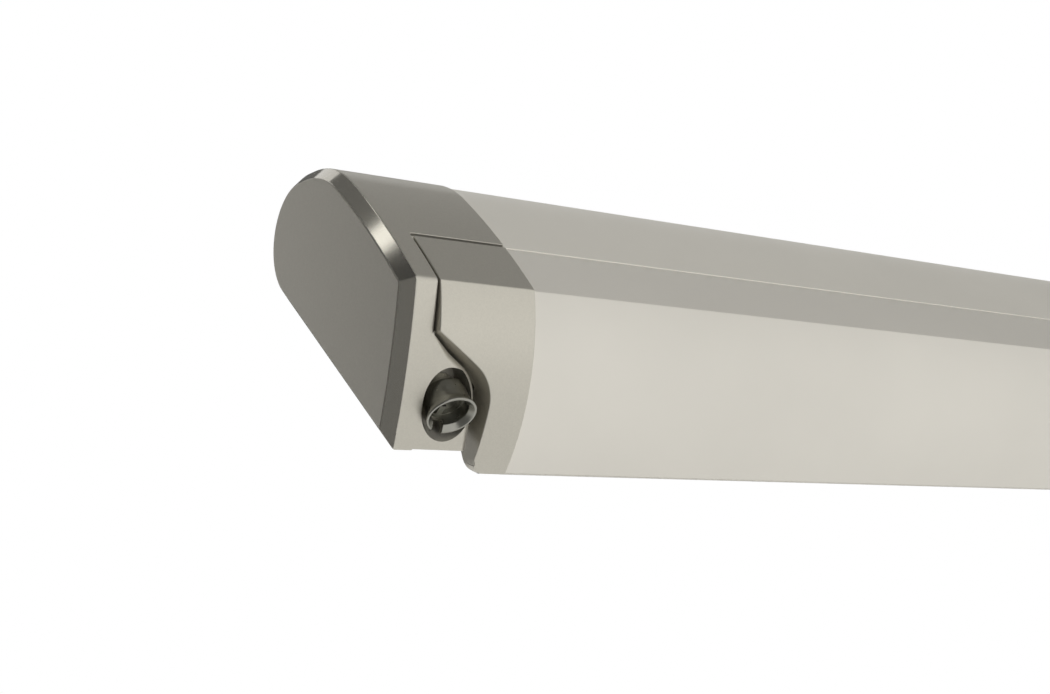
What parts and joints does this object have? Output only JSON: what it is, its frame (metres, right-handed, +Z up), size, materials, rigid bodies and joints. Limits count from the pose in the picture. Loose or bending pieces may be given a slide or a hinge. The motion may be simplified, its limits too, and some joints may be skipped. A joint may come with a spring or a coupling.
{
  "type": "roll out awning",
  "caption": "Cassette awning for a camper roof: folding spring arms carry a lead rail out while a cranked worm drive unwinds the fabric, with telescopic legs stowed in the rail.",
  "frame": {"origin": "mouth of the roof bracket slot at mid length", "axes": "+X along the length to the right end seen from outside, -Y the way the awning rolls out, +Z up"},
  "size_m": [2.6, 0.1523, 0.1596],
  "materials": {
    "case_paint": "satin",
    "cap_paint": "satin metallic",
    "rail_paint": "satin",
    "cast_aluminium": "cast",
    "bare_aluminium": "extruded",
    "steel": "plated",
    "dark_plastic": "moulded",
    "brass": "machined",
    "rubber": "matt",
    "fabric": "coated weave"
  },
  "bodies": {
    "cassette": {"case_profile": "case_paint", "left_end_cap": "cap_paint", "right_end_cap": "cap_paint", "left_end_bracket": "cast_aluminium", "right_end_bracket": "cast_aluminium", "gearbox_base": "dark_plastic", "gearbox_lid": "dark_plastic", "gearbox_screws": "steel", "end_bracket_screws": "steel", "roller_bushes": "dark_plastic", "left_shoulder_bracket": "cast_aluminium", "right_shoulder_bracket": "cast_aluminium", "shoulder_pins": "steel", "bracket_set_screws": "steel", "case_seal": "rubber"},
    "crank": {"crank_bell": "steel", "worm_shaft": "steel"},
    "roller": {"roller_tube": "bare_aluminium", "roller_drive_plug": "dark_plastic", "roller_idler_plug": "dark_plastic", "worm_wheel": "brass", "fabric_roll": "fabric"},
    "fabric_front": {"fabric_sheet": "fabric"},
    "left_upper": {"left_upper_arm": "case_paint", "left_shoulder_knuckle": "cast_aluminium", "left_elbow_fork": "cast_aluminium", "left_elbow_pin": "steel", "left_arm_spring": "steel"},
    "left_fore": {"left_forearm": "case_paint", "left_elbow_tongue": "cast_aluminium", "left_wrist_knuckle": "cast_aluminium"},
    "right_upper": {"right_upper_arm": "case_paint", "right_shoulder_knuckle": "cast_aluminium", "right_elbow_fork": "cast_aluminium", "right_elbow_pin": "steel", "right_arm_spring": "steel"},
    "right_fore": {"right_forearm": "case_paint", "right_elbow_tongue": "cast_aluminium", "right_wrist_knuckle": "cast_aluminium"},
    "lead": {"lead_rail": "rail_paint", "left_lead_cap": "cap_paint", "right_lead_cap": "cap_paint", "left_wrist_bracket": "cast_aluminium", "right_wrist_bracket": "cast_aluminium", "wrist_pins": "steel", "keder_rod": "dark_plastic", "leg_hinge_brackets": "steel", "leg_pins": "steel"},
    "left_leg": {"left_leg_tube": "bare_aluminium", "left_leg_knuckle": "dark_plastic", "left_leg_collar": "dark_plastic"},
    "left_leg_slider": {"left_leg_inner": "bare_aluminium"},
    "left_foot": {"left_leg_foot": "dark_plastic"},
    "right_leg": {"right_leg_tube": "bare_aluminium", "right_leg_knuckle": "dark_plastic", "right_leg_collar": "dark_plastic"},
    "right_leg_slider": {"right_leg_inner": "bare_aluminium"},
    "right_foot": {"right_leg_foot": "dark_plastic"}
  },
  "joints": [
    {"name": "left_shoulder", "type": "hinge", "parent": "cassette", "child": "left_upper", "pos_m": [-1.15, -0.05334, -0.00971], "axis": [0, 0.1045, -0.9945], "range_deg": [0, 74.4]},
    {"name": "left_elbow", "type": "hinge", "parent": "left_upper", "child": "left_fore", "pos_m": [-0.1, -0.06428, -0.01086], "axis": [0, -0.1045, 0.9945], "range_deg": [0, 148.8]},
    {"name": "left_wrist", "type": "hinge", "parent": "left_fore", "child": "lead", "pos_m": [-1.15, -0.07523, -0.01201], "axis": [0, 0.1045, -0.9945], "range_deg": [0, 74.4]},
    {"name": "right_shoulder", "type": "hinge", "parent": "cassette", "child": "right_upper", "pos_m": [1.15, -0.05334, -0.00971], "axis": [0, -0.1045, 0.9945], "range_deg": [0, 74.4]},
    {"name": "right_elbow", "type": "hinge", "parent": "right_upper", "child": "right_fore", "pos_m": [0.1, -0.06428, -0.01086], "axis": [0, 0.1045, -0.9945], "range_deg": [0, 148.8]},
    {"name": "roller_spin", "type": "hinge", "parent": "cassette", "child": "roller", "pos_m": [0, 0.00466, 0.04879], "axis": [1, 0, 0], "range_deg": [-3720, 0]},
    {"name": "crank_spin", "type": "hinge", "parent": "cassette", "child": "crank", "pos_m": [-1.2697, -0.09094, -0.04341], "axis": [0, -0.6018, -0.7986], "range_deg": [0, 29760]},
    {"name": "fabric_pull", "type": "slide", "parent": "cassette", "child": "fabric_front", "axis": [0, -0.9945, -0.1045], "range_m": [0, 2.00656], "deforming": ["fabric_sheet"]},
    {"name": "left_leg_fold", "type": "hinge", "parent": "lead", "child": "left_leg", "pos_m": [-1.199, -0.06109, -0.04471], "axis": [0, 1, 0], "range_deg": [0, 90]},
    {"name": "left_leg_slide", "type": "slide", "parent": "left_leg", "child": "left_leg_slider", "axis": [1, 0, 0], "range_m": [0, 1.08]},
    {"name": "left_foot_tilt", "type": "hinge", "parent": "left_leg_slider", "child": "left_foot", "pos_m": [0.033, -0.06109, -0.04471], "axis": [0, 1, 0], "range_deg": [0, 90]},
    {"name": "right_leg_fold", "type": "hinge", "parent": "lead", "child": "right_leg", "pos_m": [1.199, -0.04859, -0.04471], "axis": [0, -1, 0], "range_deg": [0, 90]},
    {"name": "right_leg_slide", "type": "slide", "parent": "right_leg", "child": "right_leg_slider", "axis": [-1, 0, 0], "range_m": [0, 1.08]},
    {"name": "right_foot_tilt", "type": "hinge", "parent": "right_leg_slider", "child": "right_foot", "pos_m": [-0.033, -0.04859, -0.04471], "axis": [0, -1, 0], "range_deg": [0, 90]}
  ],
  "couplings": [
    {"joint": "left_elbow", "follows": "left_shoulder", "ratio": 2},
    {"joint": "left_wrist", "follows": "left_shoulder", "ratio": 1},
    {"joint": "right_shoulder", "follows": "left_shoulder", "ratio": 1},
    {"joint": "right_elbow", "follows": "left_shoulder", "ratio": 2},
    {"joint": "roller_spin", "follows": "left_shoulder", "ratio": -50},
    {"joint": "crank_spin", "follows": "left_shoulder", "ratio": 400},
    {"joint": "fabric_pull", "follows": "left_shoulder", "m_per_rad": 1.5453}
  ]
}
